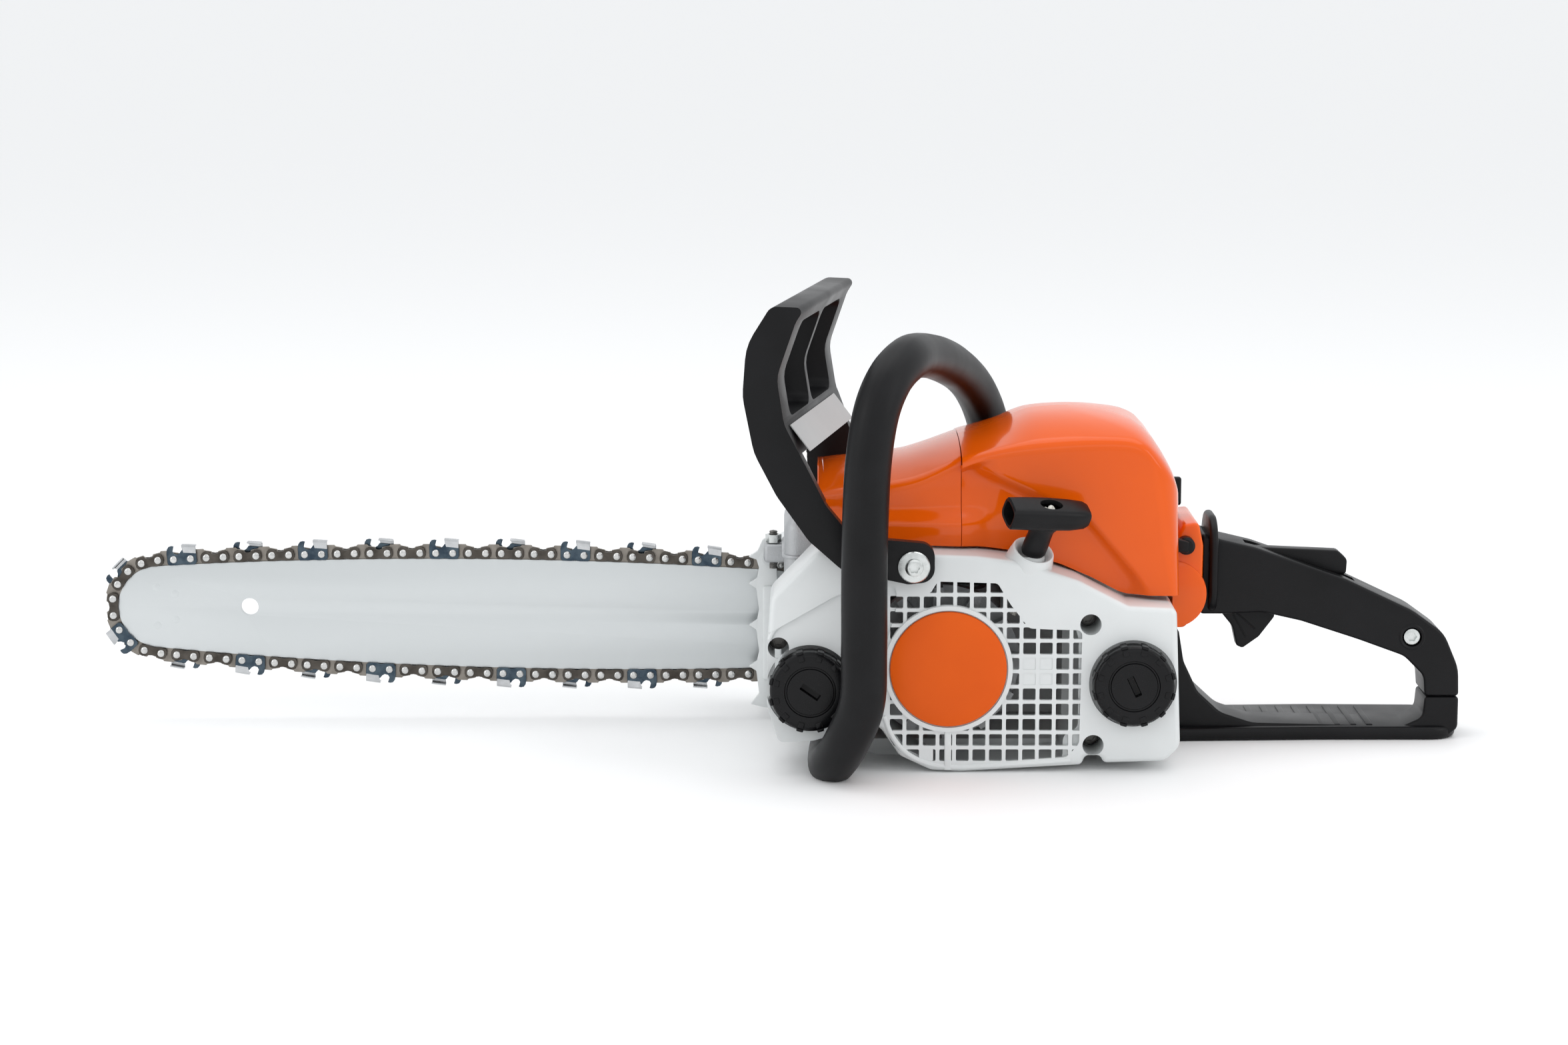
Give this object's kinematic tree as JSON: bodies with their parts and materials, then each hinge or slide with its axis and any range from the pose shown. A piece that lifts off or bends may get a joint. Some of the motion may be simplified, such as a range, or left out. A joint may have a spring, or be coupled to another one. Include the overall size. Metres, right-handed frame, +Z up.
{
  "type": "chainsaw",
  "caption": "Petrol chainsaw with guide bar, saw chain, front tubular handle, hand guard, rear loop handle with trigger, pull starter and engine internals.",
  "frame": {"origin": "bottom centre of the bounding box, on the ground plane", "axes": "+X from the bar's tip towards the rear handle, +Y towards the bar and clutch side, +Z up"},
  "size_m": [0.7658, 0.24, 0.2528],
  "materials": {
    "orange_shell": "gloss",
    "grey_casing": "satin",
    "black_plastic": "satin",
    "bar_steel": "satin",
    "chain_steel": "satin",
    "plain_steel": "satin",
    "zinc_fastener": "bright",
    "dark_fastener": "matt",
    "cast_alloy": "cast",
    "filter_felt": "matt",
    "starter_cord": "matt"
  },
  "bodies": {
    "engine_unit": {"air_filter": "filter_felt", "bar_nut": "plain_steel", "bar_stud": "plain_steel", "brake_band": "plain_steel", "bumper_spike": "grey_casing", "carburetor": "cast_alloy", "chain_catcher": "cast_alloy", "crankcase": "cast_alloy", "cylinder": "cast_alloy", "cylinder_shroud": "orange_shell", "engine_housing": "grey_casing", "fan_housing": "grey_casing", "fan_screw_front": "dark_fastener", "fan_screw_rear_low": "dark_fastener", "fan_screw_rear_top": "dark_fastener", "filter_cover": "orange_shell", "front_handle": "black_plastic", "guard_pivot_screw": "zinc_fastener", "guide_bar": "bar_steel", "handle_neck": "orange_shell", "ignition_lead": "black_plastic", "ignition_module": "black_plastic", "main_bearing_drive_side": "plain_steel", "main_bearing_fan_side": "plain_steel", "muffler": "cast_alloy", "muffler_nut": "zinc_fastener", "muffler_stud": "dark_fastener", "oil_pump": "black_plastic", "rear_handle_base": "black_plastic", "rear_handle_grip": "black_plastic", "rear_handle_screw": "zinc_fastener", "rewind_spring": "plain_steel", "saw_chain": "chain_steel", "spark_plug": "zinc_fastener", "spark_plug_boot": "black_plastic", "sprocket_cover": "grey_casing", "starter_badge": "orange_shell", "starter_rope": "starter_cord", "tension_screw": "plain_steel"},
    "throttle_trigger": {"throttle_trigger": "black_plastic"},
    "trigger_lockout": {"trigger_lockout": "black_plastic"},
    "hand_guard": {"hand_guard": "black_plastic"},
    "starter_grip": {"starter_grip": "black_plastic"},
    "rope_rotor": {"rope_rotor": "black_plastic"},
    "crankshaft": {"crank_half_fan_side": "plain_steel", "crank_half_drive_side": "plain_steel", "flywheel": "cast_alloy", "flywheel_nut": "plain_steel", "clutch_hub": "cast_alloy"},
    "clutch_drum": {"clutch_drum": "plain_steel"},
    "piston": {"piston": "cast_alloy", "wrist_pin": "plain_steel"},
    "connecting_rod": {"connecting_rod": "plain_steel", "crank_pin": "plain_steel"},
    "throttle_shaft": {"throttle_shaft": "plain_steel"},
    "master_control_lever": {"master_control_lever": "black_plastic"},
    "twist_lock": {"twist_lock": "black_plastic"},
    "fuel_cap": {"fuel_cap": "black_plastic"},
    "oil_cap": {"oil_cap": "black_plastic"},
    "nose_sprocket": {"nose_sprocket": "plain_steel"}
  },
  "joints": [
    {"name": "trigger_squeeze", "type": "hinge", "parent": "engine_unit", "child": "throttle_trigger", "pos_m": [0.2559, 0.02796, 0.086], "axis": [0, -1, 0], "range_deg": [0, 15], "stiffness_Nm_per_rad": 0.35, "springref_deg": -5.73},
    {"name": "lockout_press", "type": "hinge", "parent": "engine_unit", "child": "trigger_lockout", "pos_m": [0.2679, 0.02796, 0.096], "axis": [0, 1, 0], "range_deg": [0, 6], "stiffness_Nm_per_rad": 0.3, "springref_deg": -5.73},
    {"name": "guard_tilt", "type": "hinge", "parent": "engine_unit", "child": "hand_guard", "pos_m": [0.0749, -0.00104, 0.114], "axis": [0, -1, 0], "range_deg": [0, 20]},
    {"name": "starter_pull", "type": "slide", "parent": "engine_unit", "child": "starter_grip", "axis": [0.2598, -0.4596, 0.8493], "range_m": [0, 0.7], "stiffness_N_per_m": 8, "springref_m": -0.3, "deforming": ["starter_rope"]},
    {"name": "rotor_spin", "type": "hinge", "parent": "engine_unit", "child": "rope_rotor", "pos_m": [0.0919, -0.05704, 0.055], "axis": [0, -1, 0], "range_deg": [0, 1650]},
    {"name": "crank_spin", "type": "hinge", "parent": "engine_unit", "child": "crankshaft", "pos_m": [0.0919, 0.01596, 0.055], "axis": [0, 1, 0], "continuous": true},
    {"name": "drum_spin", "type": "hinge", "parent": "engine_unit", "child": "clutch_drum", "pos_m": [0.0919, 0.07296, 0.055], "axis": [0, 1, 0], "continuous": true},
    {"name": "piston_stroke", "type": "slide", "parent": "engine_unit", "child": "piston", "axis": [0, 0, 1], "range_m": [-0.028, 0]},
    {"name": "rod_swing", "type": "hinge", "parent": "piston", "child": "connecting_rod", "pos_m": [0.0919, 0.01596, 0.115], "axis": [0, 1, 0], "range_deg": [-14, 14]},
    {"name": "throttle_turn", "type": "hinge", "parent": "engine_unit", "child": "throttle_shaft", "pos_m": [0.1559, 0.01596, 0.112], "axis": [0, 1, 0], "range_deg": [0, 52]},
    {"name": "control_lever_turn", "type": "hinge", "parent": "engine_unit", "child": "master_control_lever", "pos_m": [0.2269, -0.00604, 0.113], "axis": [0, 1, 0], "range_deg": [-25, 25]},
    {"name": "twist_lock_turn", "type": "hinge", "parent": "engine_unit", "child": "twist_lock", "pos_m": [0.2189, 0.02796, 0.138], "axis": [1, 0, 0], "range_deg": [0, 90]},
    {"name": "fuel_cap_turn", "type": "hinge", "parent": "engine_unit", "child": "fuel_cap", "pos_m": [0.1929, -0.07004, 0.049], "axis": [0, -1, 0], "range_deg": [0, 270]},
    {"name": "oil_cap_turn", "type": "hinge", "parent": "engine_unit", "child": "oil_cap", "pos_m": [0.0199, -0.07004, 0.046], "axis": [0, -1, 0], "range_deg": [0, 270]},
    {"name": "nose_spin", "type": "hinge", "parent": "engine_unit", "child": "nose_sprocket", "pos_m": [-0.3516, 0.07296, 0.064], "axis": [0, 1, 0], "continuous": true}
  ],
  "couplings": [
    {"joint": "rotor_spin", "follows": "starter_pull", "rad_per_m": 40},
    {"joint": "throttle_turn", "follows": "trigger_squeeze", "ratio": 3}
  ]
}
